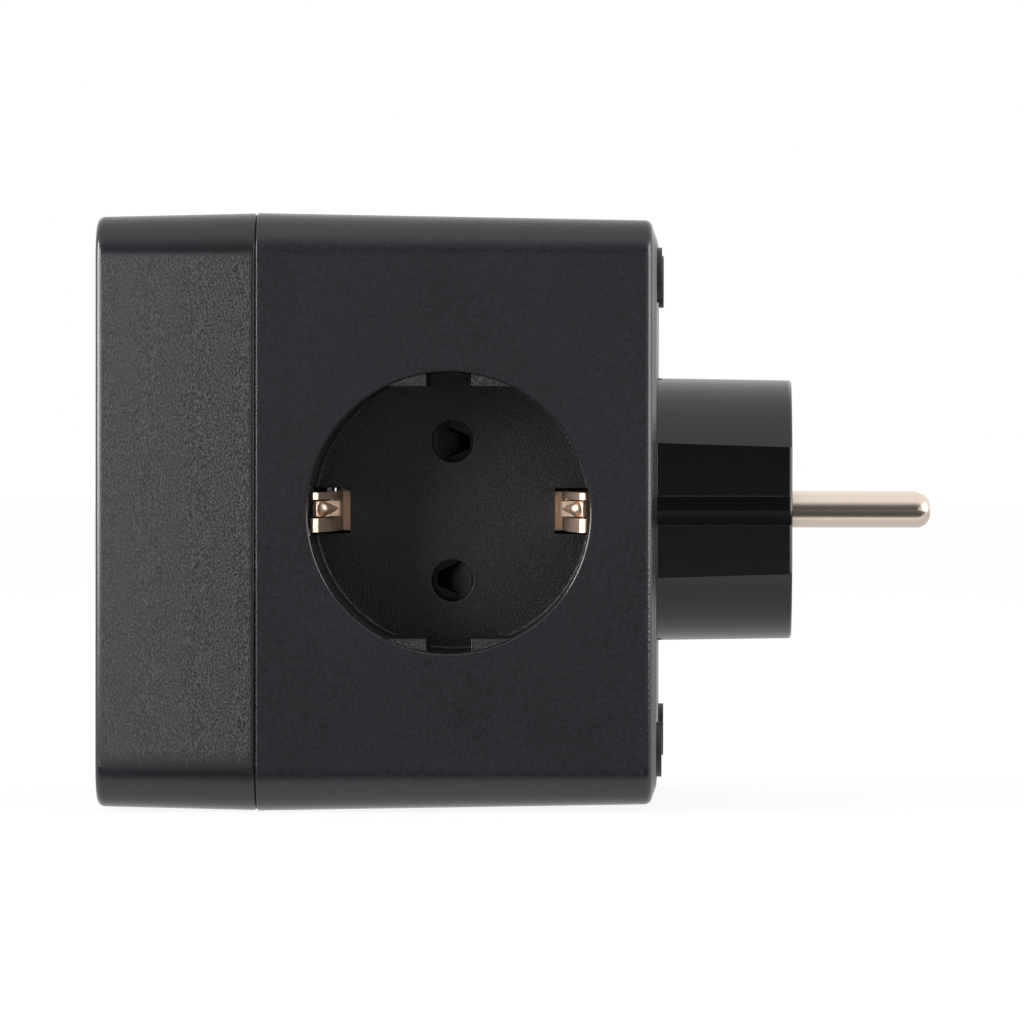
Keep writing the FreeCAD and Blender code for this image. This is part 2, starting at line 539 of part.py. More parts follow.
def shutter(side):
    """Rotor that closes the pin holes with two ramped blades on ledges. Both pins must press to turn it."""
    piece = Piece("shutter_" + side)
    hub = circle(piece.sketch("XY", "shutter_under"), "0", "0", "shutter_hub")
    piece.pad(hub, "shutter_height")
    outline = loop(piece.sketch("XY", "shutter_under"), [
        ("-blade_behind", "0"), ("-blade_neck", "0"), ("-blade_neck", "tip_place - neck_half"),
        ("blade_tip", "tip_place - tip_half"), ("blade_tip", "tip_place + tip_half"),
        ("-blade_neck", "tip_place + neck_half"), ("-blade_neck", "blade_outer"),
        ("-blade_behind", "blade_outer")])
    blade = piece.pad(outline, "shutter_height")
    around_tip = loop(piece.sketch("XY", "shutter_under"), [
        ("-blade_neck", "blade_inner"), ("ledge_root", "blade_inner"), ("ledge_reach", "pin_place"),
        ("ledge_reach", "blade_outer"), ("-blade_neck", "blade_outer")])
    ledge = piece.pad(around_tip, "ledge_height")
    ramp = loop(piece.sketch("XZ", "-blade_inner"), [
        ("-slope_start", "shutter_top"), ("slope_end", "shutter_top - slope_drop"),
        ("slope_end", "shutter_top + 1"), ("-slope_start", "shutter_top + 1")])
    slope = piece.pocket(ramp, "carrier_radius - blade_inner")
    piece.around([blade, ledge, slope], "Z", 2)
    start, top, low = worth("-slope_start"), worth("shutter_top"), worth("-blade_neck") - 0.01
    first, last = worth("tip_place - neck_half") - 0.01, worth("tip_place + neck_half") + 0.01
    fall = worth("slope_drop / (slope_end + slope_start)")

    def on_tip(p):
        x, y = (p.x, p.y) if p.y > 0 else (-p.x, -p.y)
        return x > low and first < y < last and abs(p.z - top + fall * (x - start)) < 0.01

    piece.chamfer(on_tip, "tip_bevel")
    bore = circle(piece.sketch("XY", "shutter_under"), "0", "0", "hub_pin_radius + shutter_fit")
    piece.pocket(bore, "shutter_height + 1", back=True)
    room = circle(piece.sketch("XY", "shutter_under"), "0", "0", "spring_room")
    piece.pocket(room, "shutter_height - hub_plate", back=True)
    into_socket(piece.body, side)
    return piece


def contact_carrier(side):
    """Disc under the shutter with pin passages and a groove for the earth strip."""
    piece = Piece("contact_carrier_" + side)
    disc = circle(piece.sketch("XY", "carrier_under"), "0", "0", "carrier_radius")
    piece.pad(disc, "carrier_thickness")
    flange = circle(piece.sketch("XY", "groove_floor"), "0", "0", "carrier_radius + carrier_step")
    piece.pad(flange, "carrier_flange")
    holes = piece.sketch("XY", "carrier_under")
    for sign in ("", "-"):
        circle(holes, "0", f"{sign}pin_place", "carrier_hole")
    piece.pocket(holes, "carrier_thickness + 1", back=True)
    groove = box(piece.sketch("XY", "groove_floor"), "-groove_reach", "groove_reach",
                 "-groove_half", "groove_half")
    piece.pocket(groove, "carrier_flange + 1", back=True)
    into_socket(piece.body, side)
    return piece


def strip_face(points, bend, thickness):
    """Flat face in the XZ plane of a strip bent along a line of (x, z) points."""
    path = [V(x, 0, z) for x, z in points]
    runs = []
    here = path[0]
    for before, corner, after in zip(path, path[1:], path[2:]):
        into, out = (corner - before).normalize(), (after - corner).normalize()
        half = into.getAngle(out) / 2
        cut = bend * math.tan(half)
        start, end = corner - into * cut, corner + out * cut
        centre = corner + (out - into).normalize() * (bend / math.cos(half))
        runs.append(("line", here, start, None))
        runs.append(("arc", start, end, centre))
        here = end
    runs.append(("line", here, path[-1], None))
    return Part.Face(Part.Wire(side_edges(runs, thickness / 2)))


def side_edges(runs, half):
    """Both sides of a run of lines and arcs, moved out by half a thickness, and the two ends."""
    sides = []
    for sign in (1, -1):
        edges, ends = [], []
        for kind, start, end, centre in runs:
            if kind == "line":
                across = V(0, 1, 0).cross((end - start).normalize()) * (half * sign)
                first, last = start + across, end + across
                edges.append(Part.LineSegment(first, last).toShape())
            else:
                first, last = (centre + (p - centre) * (1 + moved_out(runs, p, centre, half * sign))
                               for p in (start, end))
                middle = (first + last) * 0.5 - centre
                middle = centre + middle.normalize() * first.distanceToPoint(centre)
                edges.append(Part.Arc(first, middle, last).toShape())
            ends.append((first, last))
        sides.append((edges, ends))
    (left, left_ends), (right, right_ends) = sides
    near = Part.LineSegment(left_ends[0][0], right_ends[0][0]).toShape()
    far = Part.LineSegment(left_ends[-1][1], right_ends[-1][1]).toShape()
    return Part.__sortEdges__(left + right + [near, far])


def moved_out(runs, point, centre, shift):
    """Share of a bend's radius by which its side lies further out than its middle line."""
    line = next(r for r in runs if r[0] == "line" and (r[1] == point or r[2] == point))
    across = V(0, 1, 0).cross((line[2] - line[1]).normalize()) * shift
    return across.dot((point - centre).normalize()) / point.distanceToPoint(centre)


def bent_strip(points, bend, thickness, width):
    """Strip metal bent along a line of (x, z) points, centred on the XZ plane."""
    face = strip_face(points, bend, thickness)
    face.translate(V(0, -width / 2, 0))
    return face.extrude(V(0, width, 0))


def bead(start, end):
    """Pressed bead of a contact tongue: a ball near the tongue's end with a cone tapering away from it."""
    radius, length = worth("bead_radius"), worth("bead_length")
    along = (end - start).normalize()
    centre = end - along * worth("bead_inset")
    slope = math.asin(radius / length)
    reach = length * math.cos(slope) ** 2
    first = reach * worth("bead_start")
    cone = Part.makeCone(first * math.tan(slope), reach * math.tan(slope), reach - first,
                         centre - along * (length - first), along)
    return cone.fuse(Part.makeSphere(radius, centre))


def earth_strip(side):
    """One strip that crosses under the shutter and rises as a sprung clip at both ends."""
    leg, bend, thick = worth("earth_leg"), worth("clip_bend"), worth("earth_strip")
    foot, low, top, outer = (worth(name) for name in ("earth_leg + foot_length", "foot_plane",
                                                      "clip_top", "clip_outer"))
    lean = foot + worth("clip_lean")
    flare = worth("clip_flare")
    half = [(leg, worth("earth_plane")), (leg, low), (foot, low), (lean, top - worth("clip_drop")),
            (outer - flare, top - flare), (outer, top)]
    line = [(-x, z) for x, z in reversed(half)] + half
    solid = bent_strip(line, bend, thick, worth("earth_width"))
    tongue, slot, root = worth("tongue_width"), worth("tongue_slot"), worth("floor_top + tongue_low")
    shift = V(0, worth("tongue_shift"), 0)
    for sign in (1, -1):
        opening = Part.makeBox(outer - foot + 2, tongue + 2 * slot, top - root + 2,
                               V(foot - 1 if sign > 0 else -outer - 1, -tongue / 2 - slot, root) + shift)
        bend_at = (worth("recess_radius - tongue_reach"), root + worth("tongue_rise"))
        end = (outer - worth("tongue_back"), top - worth("tongue_drop"))
        curve = [(sign * x, z) for x, z in ((foot + 0.1, root - 0.4), bend_at, end)]
        spring = bent_strip(curve, worth("tongue_bend"), thick, tongue)
        spring = spring.fuse(bead(V(sign * bend_at[0], 0, bend_at[1]), V(sign * end[0], 0, end[1])))
        solid = solid.cut(opening).fuse(spring.translated(shift))
    strip = doc.addObject("Part::Feature", "earth_strip_" + side)
    strip.Shape = solid.removeSplitter()
    strip.Label = "earth_strip_" + side
    into_socket(strip, side)
    return strip


def shutter_spring(side):
    """Coil of square wire round the hub pin, with a straight leg at its lower end."""
    radius, wire = worth("spring_radius"), worth("spring_wire")
    pitch, turns = worth("spring_pitch"), worth("spring_turns")
    low = worth("carrier_top") + wire + worth("spring_clear")
    coil = Part.makeHelix(pitch, pitch * turns, radius)
    coil.translate(V(0, 0, low))
    leg = worth("spring_leg")
    first = Part.LineSegment(V(radius, -leg, low), V(radius, 0, low)).toShape()
    path = Part.Wire([first] + coil.Edges)
    corners = [V(radius + x * wire, -leg, low + z * wire) for x, z in ((-1, -1), (1, -1), (1, 1), (-1, 1))]
    ring = Part.makePolygon(corners + corners[:1])
    spring = doc.addObject("Part::Feature", "shutter_spring_" + side)
    spring.Shape = path.makePipeShell([ring], True, False)
    spring.Label = "shutter_spring_" + side
    into_socket(spring, side)
    return spring


def block(piece, low_x, high_x, low_y, high_y, low_z, high_z):
    """Add a flat-sided bar between six places."""
    sketch = box(piece.sketch("XY", low_z), low_x, high_x, low_y, high_y)
    return piece.pad(sketch, f"{high_z} - ({low_z})")


def side_contacts(piece, low_z, high_z, web_low, web_high):
    """Web across the cube with a pair of leaves for the right and the left socket."""
    middle, outer, inner = "socket_distance", "leaf_outer", "leaf_place"
    block(piece, "-contact_top", "contact_top", f"-{middle} - {outer}", f"-{middle} + {outer}",
          web_low, web_high)
    for side in ("", "-"):
        for along in (1, -1):
            block(piece, f"{side}contact_end", f"{side}contact_top",
                  f"-{middle} + {along} * {inner}", f"-{middle} + {along} * {outer}", low_z, high_z)


def top_contact(piece, along, reach):
    """Leaves and web of one contact of the top socket, on one side of that socket's middle."""
    web = (f"-socket_distance + {along} * bar_place", f"-socket_distance + {along} * bar_outer")
    block(piece, *reach, *web, "contact_end", "contact_top")
    tips = (f"-socket_distance + {along} * leaf_tip", web[0])
    for side in ("", "-"):
        block(piece, f"{side}leaf_place", f"{side}leaf_outer", *tips, "contact_end", "contact_top")


def line_busbar():
    """Live bar: contacts at the upper pin holes of both sides and at the rear one of the top."""
    piece = Piece("line_busbar")
    side_contacts(piece, "leaf_tip", "bar_place", "bar_place", "bar_outer")
    block(piece, "strap_inner", "strap_outer", "-feed_end", "-tail_place", "bar_place", "bar_outer")
    top_contact(piece, 1, ("-leaf_outer", "strap_outer"))
    block(piece, "strap_inner", "strap_outer", "-tail_place - bar_thickness", "-tail_place",
          "-pin_radius - 1", "bar_outer")
    hole = circle(piece.sketch("XZ", "tail_place - 1"), "pin_place", "0", "pin_neck_radius + pin_fit")
    piece.pocket(hole, "bar_thickness + 2", back=True)
    return piece


def neutral_busbar():
    """Neutral bar: the lower pin holes of both sides and the front one of the top, by a riser."""
    piece = Piece("neutral_busbar")
    side_contacts(piece, "-bar_place", "-leaf_tip", "-bar_outer", "-bar_place")
    riser = "-socket_distance - bar_outer"
    block(piece, "-strap_outer", "-strap_inner", riser, "-tail_place", "-bar_outer", "-bar_place")
    block(piece, "-strap_outer", "-strap_inner", riser, "-socket_distance - bar_place",
          "-bar_outer", "contact_top")
    top_contact(piece, -1, ("-strap_outer", "leaf_outer"))
    block(piece, "-strap_outer", "-strap_inner", "-tail_place - bar_thickness", "-tail_place",
          "-bar_outer", "pin_radius + 1")
    hole = circle(piece.sketch("XZ", "tail_place - 1"), "-pin_place", "0", "pin_neck_radius + pin_fit")
    piece.pocket(hole, "bar_thickness + 2", back=True)
    return piece


def plug_earth_bracket():
    """Stamped bracket with the two side contacts of the plug."""
    piece = Piece("plug_earth_bracket")
    low, high = "channel_floor + prong_lift", "channel_floor + prong_lift + bracket_thickness"
    block(piece, "-web_half", "web_half", "-bracket_back", "-flange_inside", f"-({high})", high)
    for sign in ("", "-"):
        block(piece, "-earth_width / 2", "earth_width / 2", "-bracket_back", "-prong_start",
              f"{sign}({low})", f"{sign}({high})")
    hole = circle(piece.sketch("XZ", "flange_inside - 1"), "0", "earth_hole_place", "earth_hole_radius")
    piece.pocket(hole, "bracket_thickness + 2", back=True)
    return piece


def earth_link():
    """Plate behind the bracket with a leg to each side socket's strip and a tab for the wire."""
    piece = Piece("earth_link")
    low, high = "-link_back", "-bracket_back"
    block(piece, "-web_half", "web_half", low, high, "-arm_low", "wire_height + wire_tab")
    leg_in, leg_out = "earth_plane - earth_strip / 2", "earth_plane + earth_strip / 2"
    block(piece, f"-({leg_out})", leg_out, low, high, "-arm_low", "-arm_high")
    block(piece, "-wire_side - wire_tab", "0", low, high, "wire_height - wire_tab", "wire_height + wire_tab")
    hole = circle(piece.sketch("XZ", "bracket_back - 1"), "0", "earth_hole_place", "earth_hole_radius")
    piece.pocket(hole, "link_thickness + 2", back=True)
    meet = "-socket_distance + earth_leg + earth_strip / 2"
    for sign in ("", "-"):
        block(piece, f"{sign}({leg_in})", f"{sign}({leg_out})", "-leg_turn", high,
              "-arm_low", "earth_width / 2")
        block(piece, f"{sign}({leg_in})", f"{sign}({leg_out})", meet, "-leg_turn",
              "-earth_width / 2", "earth_width / 2")
    return piece


def rod(label, x, z, start, end, radius):
    """Straight round piece along Y."""
    piece = Piece(label)
    piece.pad(circle(piece.sketch("XZ", end), x, z, radius), f"{end} - ({start})", back=True)
    return piece


def earth_pin_sleeve():
    """Brass sleeve for the earth pin of a French outlet."""
    piece = Piece("earth_pin_sleeve")
    tube = circle(piece.sketch("XZ", "earth_hole_lip"), "0", "earth_hole_place", "sleeve_radius")
    circle(tube, "0", "earth_hole_place", "sleeve_radius - sleeve_wall")
    piece.pad(tube, "flange_inside - earth_hole_lip")
    return piece


def housing_screws():
    """Four pan-head screws from the wells into the cap's bosses."""
    piece = Piece("housing_screws")
    seat = "well_end - seat_thickness"
    head = piece.pad(circle(piece.sketch("XZ", seat), "corner_place", "corner_place",
                            "screw_head_radius"), "screw_head_height", back=True)
    shank = piece.pad(circle(piece.sketch("XZ", seat), "corner_place", "corner_place",
                             "screw_shank"), "screw_length")
    piece.around([head, shank], "Y", 4)
    return piece


def rear_pads():
    """Four soft plugs that close the screw wells."""
    piece = Piece("rear_pads")
    disc = piece.pad(circle(piece.sketch("XZ", "plateau_distance"), "corner_place", "corner_place",
                            "well_bore + pad_reach"), "pad_height", back=True)
    stem = piece.pad(circle(piece.sketch("XZ", "plateau_distance"), "corner_place", "corner_place",
                            "well_bore - pad_fit"), "pad_stem")
    piece.around([disc, stem], "Y", 4)
    return piece


def usb_board():
    """Circuit board on the cap's four posts."""
    piece = Piece("usb_board")
    outline = box(piece.sketch("XZ", "board_back"), "-board_half", "board_half", "-board_half", "board_half")
    piece.pad(outline, "board_thickness")
    hole = piece.pocket(circle(piece.sketch("XZ", "board_back"), "post_place", "post_place",
                               "post_bore + board_play"), "board_thickness + 1", back=True)
    piece.around([hole], "Y", 4)
    return piece


def board_screws():
    """Four small screws that hold the board."""
    piece = Piece("board_screws")
    head = piece.pad(circle(piece.sketch("XZ", "board_back"), "post_place", "post_place",
                            "board_screw_head"), "board_screw_height", back=True)
    shank = piece.pad(circle(piece.sketch("XZ", "board_back"), "post_place", "post_place",
                             "post_bore"), "board_screw_length")
    piece.around([head, shank], "Y", 4)
    return piece


def port_shells(label, places, wide, high):
    """Sheet-metal shells of one kind of port."""
    piece = Piece(label)
    sketch = piece.sketch("XZ", "board_front")
    for place in places:
        port_outline(sketch, place, f"{wide} / 2", f"{high} / 2")
        port_outline(sketch, place, f"{wide} / 2 - port_sheet", f"{high} / 2 - port_sheet")
    piece.pad(sketch, "front_distance - port_recess - board_front")
    return piece


def port_tongues(label, places, wide, high, side, low, top):
    """Insulating blocks with the contact tongue inside the shells of one kind of port."""
    piece = Piece(label)
    blocks = piece.sketch("XZ", "board_front")
    tongues = piece.sketch("XZ", "board_front")
    for place in places:
        port_outline(blocks, place, f"{wide} / 2 - port_sheet - block_fit",
                     f"{high} / 2 - port_sheet - block_fit")
        half = f"({wide} / 2 - port_sheet - {side})"
        box(tongues, f"-{half}", half, f"{place} + {low}", f"{place} + {top}")
    piece.pad(blocks, "port_block")
    piece.pad(tongues, "front_distance - port_recess - tongue_short - board_front")
    return piece


def transformer():
    """Small transformer on the front of the board."""
    piece = Piece("transformer")
    start = "port_wide / 2 + part_gap"
    core = box(piece.sketch("XZ", "board_front"), start, f"{start} + transformer_wide",
               "-transformer_high / 2", "transformer_high / 2")
    piece.pad(core, "core_height")
    bobbin = box(piece.sketch("XZ", "board_front"), f"{start} + bobbin_inset",
                 f"{start} + transformer_wide - bobbin_inset",
                 "-transformer_high / 2", "transformer_high / 2")
    piece.pad(bobbin, "transformer_deep")
    yoke = box(piece.sketch("XZ", "board_front"), start, f"{start} + transformer_wide",
               "-transformer_high / 4", "transformer_high / 4")
    piece.pad(yoke, "yoke_height")
    return piece


def capacitors():
    """Two round cans on the front of the board."""
    piece = Piece("capacitors")
    cans = piece.sketch("XZ", "board_front")
    for sign in ("", "-"):
        circle(cans, "-port_wide / 2 - part_gap - can_radius", f"{sign}(can_radius + can_gap / 2)",
               "can_radius")
    piece.pad(cans, "can_height")
    return piece


def build():
    """Every sub-part, in the order in which the adapter is put together."""
    pieces = [main_housing(), front_cap(), plug_body(), plug_pin("line_pin", ""),
              plug_pin("neutral_pin", "-"), earth_pin_sleeve(), plug_earth_bracket(), earth_link(),
              line_busbar(), neutral_busbar()]
    for side in SOCKETS:
        pieces += [socket_cup(side), shutter(side), shutter_spring(side), contact_carrier(side),
                   earth_strip(side)]
    pieces += [
        rod("earth_wire", "-wire_side", "wire_height", "link_back", "socket_distance + 2", "wire_radius"),
        rod("line_feed_wire", "pin_place", "bar_place + bar_thickness / 2", "feed_end",
            "board_back", "wire_radius"),
        rod("neutral_feed_wire", "-pin_place", "feed_low", "socket_distance + bar_outer",
            "board_back", "wire_radius"),
        housing_screws(), rear_pads(), usb_board(), board_screws(),
        port_shells("usb_a_shells", ("port_step", "0"), "port_wide", "port_high"),
        port_tongues("usb_a_tongues", ("port_step", "0"), "port_wide", "port_high", "tongue_side",
                     "tongue_lift", "tongue_lift + tongue_thick"),
        port_shells("usb_c_shell", ("-port_step",), "slim_port_wide", "slim_port_high"),
        port_tongues("usb_c_tongue", ("-port_step",), "slim_port_wide", "slim_port_high",
                     "slim_tongue_side", "-slim_tongue_thick / 2", "slim_tongue_thick / 2"),
        transformer(), capacitors(),
        rod("choke", "0", "choke_inset - post_place", "board_back - choke_height", "board_back",
            "choke_radius")]
    return [getattr(piece, "body", piece) for piece in pieces]


def export(things):
    """Check every object and every solid, then write one file for each sub-part."""
    doc.recompute()
    broken = [o.Label for o in doc.Objects if {"Invalid", "Error"} & set(o.State)]
    broken += [t.Label for t in things if t.Shape.isNull() or not t.Shape.isValid()]
    if broken:
        raise RuntimeError("broken: " + ", ".join(broken))
    os.makedirs("parts", exist_ok=True)
    for thing in things:
        shape = thing.Shape
        shape.exportStep(f"parts/{thing.Label}.step")
        print(thing.Label, len(shape.Solids), round(shape.Volume, 1))


export(build())
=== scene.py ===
# %% [markdown]
# # A cube adapter for a wall socket, dressed for a studio picture
# The engineering model arrives finished: every moulding, pin and strip is in its place, in metres,
# with the origin in the middle of the plug's face, +Y along the pins and +Z up.
# This script gives it light, a camera and finishes, and winds the three fine springs anew.
# A part can be dressed in two ways: by building it all again, or by painting what is there.
# The mouldings are true already, so they are painted, and only what is too coarse is made again.

import bpy
import numpy as np
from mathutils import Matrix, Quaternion, Vector


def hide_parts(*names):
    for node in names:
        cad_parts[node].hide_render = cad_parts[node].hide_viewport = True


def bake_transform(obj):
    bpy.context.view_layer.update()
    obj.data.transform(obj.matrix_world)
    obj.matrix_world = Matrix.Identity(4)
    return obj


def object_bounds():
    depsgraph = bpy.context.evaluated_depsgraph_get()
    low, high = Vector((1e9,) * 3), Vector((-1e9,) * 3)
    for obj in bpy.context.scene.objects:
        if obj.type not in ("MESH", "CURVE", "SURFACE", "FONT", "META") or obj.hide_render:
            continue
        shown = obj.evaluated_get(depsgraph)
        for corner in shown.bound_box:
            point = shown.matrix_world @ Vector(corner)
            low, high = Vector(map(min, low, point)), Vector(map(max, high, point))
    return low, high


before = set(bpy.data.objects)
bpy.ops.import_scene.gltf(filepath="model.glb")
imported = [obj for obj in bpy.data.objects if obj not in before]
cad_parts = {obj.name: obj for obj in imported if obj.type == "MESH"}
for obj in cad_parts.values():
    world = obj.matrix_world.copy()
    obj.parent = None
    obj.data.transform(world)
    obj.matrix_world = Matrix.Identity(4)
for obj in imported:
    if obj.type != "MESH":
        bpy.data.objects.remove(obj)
MM = 0.001
cad_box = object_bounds()

# %% [markdown]
# ## The camera
# The photograph looks square at one side of the cube from about a metre, through a long lens.
# The place where the cube's depth lines meet gives the eye's height and its step to the right.
# A long lens could be faked with an orthographic camera, but then the plug and the rims would
# lose the slight look-round that the picture has, so the true distance and lens are used.

# %% Camera
NEAR_SIDE = 40.2 * MM           # the side that faces the camera
EYE = Vector((NEAR_SIDE + 1.05, -14.0 * MM, 15.7 * MM))
AIM = Vector((NEAR_SIDE, -37.80 * MM, 0.13 * MM))
LENS, SENSOR = 276.2, 36.0      # millimetres
ROLL = 0.0010                   # radians, about a twentieth of a degree

camera = bpy.data.objects.new("camera", bpy.data.cameras.new("camera"))
camera.data.lens, camera.data.sensor_width = LENS, SENSOR
camera.data.clip_start, camera.data.clip_end = 0.01, 20.0
camera.location = EYE
level = (AIM - EYE).to_track_quat("-Z", "Y")
camera.rotation_euler = (level @ Quaternion((0, 0, 1), ROLL)).to_euler()
bpy.context.scene.collection.objects.link(camera)
bpy.context.scene.camera = camera
print("camera", round((AIM - EYE).length, 4), "m from the near side")

# %% [markdown]
# ## Shader arithmetic
# A finish is a small sum: a colour, plus a little speckle, times a mask. Linking Math nodes by
# hand hides that sum, so one class wraps a socket and lets Python's own signs add the nodes.
# A second class holds one finish and makes every other kind of node with one method.


# %% Sums on sockets
class Value:
    """A number in a shader. Signs between values become Math nodes."""

    def __init__(self, finish, socket):
        self.finish, self.socket = finish, socket

    def math(self, operation, *others):
        return self.finish.node("Math", {"operation": operation}, dict(enumerate((self, *others))))

    def __add__(self, other):
        return self.math("ADD", other)

    def __mul__(self, other):
        return self.math("MULTIPLY", other)

    def __sub__(self, other):
        return self.math("SUBTRACT", other)

    def __rsub__(self, other):
        return self.finish.node("Math", {"operation": "SUBTRACT"}, {0: other, 1: self})

    __radd__, __rmul__ = __add__, __mul__

    def step(self, low, high):
        """Smooth rise from 0 at low to 1 at high."""
        return self.finish.node("MapRange", {"interpolation_type": "SMOOTHSTEP"},
                                {"Value": self, "From Min": low, "From Max": high})


print("signs understood: +  -  *")


# %% One finish
class Finish:
    """One procedural finish: a shader, its fixed numbers, and the patterns that vary over it."""

    def __init__(self, name, **numbers):
        self.material = bpy.data.materials.new(name)
        self.material.use_nodes = True
        self.tree = self.material.node_tree
        self.shader = self.tree.nodes["Principled BSDF"]
        for socket, number in numbers.items():
            self.shader.inputs[socket.replace("_", " ")].default_value = number

    def node(self, kind, settings, inputs, output=0):
        """Make a node, apply its settings, then fill its sockets with numbers or links."""
        made = self.tree.nodes.new("ShaderNode" + kind)
        for key, value in settings.items():
            setattr(made, key, value)
        for key, value in inputs.items():
            self.feed(made.inputs[key], value)
        return Value(self, made.outputs[output])

    def feed(self, socket, value):
        """Link a value to a socket, or set a plain number or colour on it."""
        if isinstance(value, Value):
            self.tree.links.new(value.socket, socket)
        else:
            socket.default_value = value

    def varies(self, **inputs):
        """Feed the shader's own sockets with values that change over the surface."""
        for key, value in inputs.items():
            self.feed(self.shader.inputs[key.replace("_", " ")], value)
        return self


print("a node is asked for by its kind, such as TexNoise")

# %% [markdown]
# ## Patterns that every finish shares
# Moulded plastic is never one flat colour: the mould's spark-eroded skin gives a fine grain,
# and the melt leaves faint clouds. An image could carry that, but it would need unwrapping.
# Noise read from the part's own coordinates needs none, and its size is given in real metres.


# %% Grain and clouds
def place(finish, stretch):
    """The surface's own coordinates, stretched along an axis where a pattern has a direction."""
    spot = finish.node("TexCoord", {}, {}, output="Object")
    return finish.node("Mapping", {}, {"Vector": spot, "Scale": stretch})


def noise(finish, size, detail, stretch=(1.0, 1.0, 1.0)):
    """Soft random cells about `size` metres across, between 0 and 1."""
    return finish.node("TexNoise", {}, {"Vector": place(finish, stretch), "Scale": 1.0 / size,
                                        "Detail": detail, "Roughness": 0.55})


def parts(finish, output, size_only=False):
    """The three parts of the surface's own coordinates or direction, as three numbers."""
    spot = finish.node("TexCoord", {}, {}, output=output)
    if size_only:
        spot = finish.node("VectorMath", {"operation": "ABSOLUTE"}, {0: spot})
    return [finish.node("SeparateXYZ", {}, {"Vector": spot}, output=axis) for axis in "XYZ"]


print("grain is given in metres: 0.5 mm is", 0.5 * MM)

# %% Edges, bumps and mixtures
FINE_EDGE, SHELL_EDGE = 0.12 * MM, 0.26 * MM     # how round edges look on small parts and on shells


def bumped(finish, height, depth, edge=FINE_EDGE):
    """A normal tilted by a pattern `depth` metres deep, on edges that catch light as if rounded."""
    edges = finish.node("Bevel", {"samples": 6}, {"Radius": edge})
    return finish.node("Bump", {}, {"Height": height, "Distance": depth, "Normal": edges})


def times(colour, factor):
    """A colour made lighter or darker, with a fourth number of 1 as sockets want it."""
    return (*(channel * factor for channel in colour), 1.0)


def mixed(finish, share, low, high):
    """A colour between two, by a share that changes over the surface."""
    return finish.node("Mix", {"data_type": "RGBA"}, {"Factor": share, 6: low, 7: high}, output=2)


print("edges look round by", FINE_EDGE / MM, "mm, and on shells by", SHELL_EDGE / MM, "mm")

# %% [markdown]
# ## The black plastics
# Three mouldings are all black and still look different. The housing is satin, the plug comes
# from a polished mould and mirrors the studio, and the panels of the cap have a coarse
# spark-eroded grain that scatters light and reads as dark grey. Painting three greys would only
# fit one light. Here the pigment stays nearly the same, and roughness and grain tell them apart.

# %% Pigment
CLOUD_SIZE, CLOUD_SWING = 14 * MM, 0.25          # faint clouds, and how far they shift the colour


def around(colour, share):
    """A colour times a share that is 0.5 on average, so the mean stays the colour itself."""
    return mixed(share.finish, share, times(colour, 0.0), times(colour, 2.0))


def speckled(finish, colour, grain_size, speckle):
    """The grain, the clouds, and the pigment with both of them in it."""
    cells = noise(finish, grain_size, detail=1.0)
    clouds = noise(finish, CLOUD_SIZE, detail=3.0)
    share = (cells - 0.5) * speckle + (clouds - 0.5) * CLOUD_SWING + 0.5
    return cells, clouds, around(colour, share)


print("clouds of", CLOUD_SIZE / MM, "mm shift a colour by", CLOUD_SWING)

# %% Satin housing
SATIN_BLACK = (0.0094, 0.0084, 0.0112)
PANEL_ROUGH, BEVEL_ROUGH, RIM_ROUGH = 0.36, 0.27, 0.14
PANEL_FACING = 0.985, 0.998     # the direction's part along one axis, from an edge to a panel
RIM_FACING = 0.12, 0.40         # its part along Y, from a bevel to a rim


def panel_mask(finish):
    """1 where the skin faces along an axis, falling to 0 on the rounded edges."""
    across, along, up = parts(finish, "Normal", size_only=True)
    return across.math("MAXIMUM", up).math("MAXIMUM", along).step(*PANEL_FACING)


def shell_roughness(finish):
    """Roughness of a shell: its panels, the satin bevels along it, and the rims at its ends."""
    _, along, _ = parts(finish, "Normal", size_only=True)
    panel = panel_mask(finish)
    edges = BEVEL_ROUGH - along.step(*RIM_FACING) * (BEVEL_ROUGH - RIM_ROUGH)
    return panel * PANEL_ROUGH + (1.0 - panel) * edges


def satin_housing():
    """Housing plastic: satin panels, and edges that the mould leaves smoother."""
    finish = Finish("satin_plastic", IOR=1.5)
    cells, _, pigment = speckled(finish, SATIN_BLACK, 0.42 * MM, 0.8)
    return finish.varies(Base_Color=pigment, Roughness=shell_roughness(finish),
                         Normal=bumped(finish, cells, 0.010 * MM, SHELL_EDGE))


FINISHES = {"satin_plastic": satin_housing()}
print("roughness of panels, bevels and rims:", PANEL_ROUGH, BEVEL_ROUGH, RIM_ROUGH)

# %% Plastics of the other parts
RUB = 0.06                      # how far the clouds and the grain each shift the roughness
PLASTICS = {                    # colour, roughness, grain size and depth in mm, speckle
    "glossy_plastic": ((0.0016, 0.0016, 0.0019), 0.09, 0.8, 0.0015, 0.8),
    "socket_plastic": ((0.0155, 0.0148, 0.0162), 0.38, 0.22, 0.09, 2.6),
    "shutter_plastic": ((0.007, 0.007, 0.007), 0.22, 0.5, 0.006, 0.5),
    "soft_rubber": ((0.020, 0.019, 0.019), 0.5, 0.5, 0.004, 0.6),
    "wire_sheath": ((0.32, 0.20, 0.02), 0.4, 0.4, 0.004, 0.2),
    "port_plastic": ((0.02, 0.02, 0.022), 0.35, 0.4, 0.008, 0.4),
    "can_sleeve": ((0.015, 0.03, 0.09), 0.25, 0.5, 0.004, 0.2),
    "winding_tape": ((0.45, 0.32, 0.03), 0.35, 0.6, 0.01, 0.2),
    "board": ((0.01, 0.09, 0.03), 0.35, 0.5, 0.006, 0.3),
}


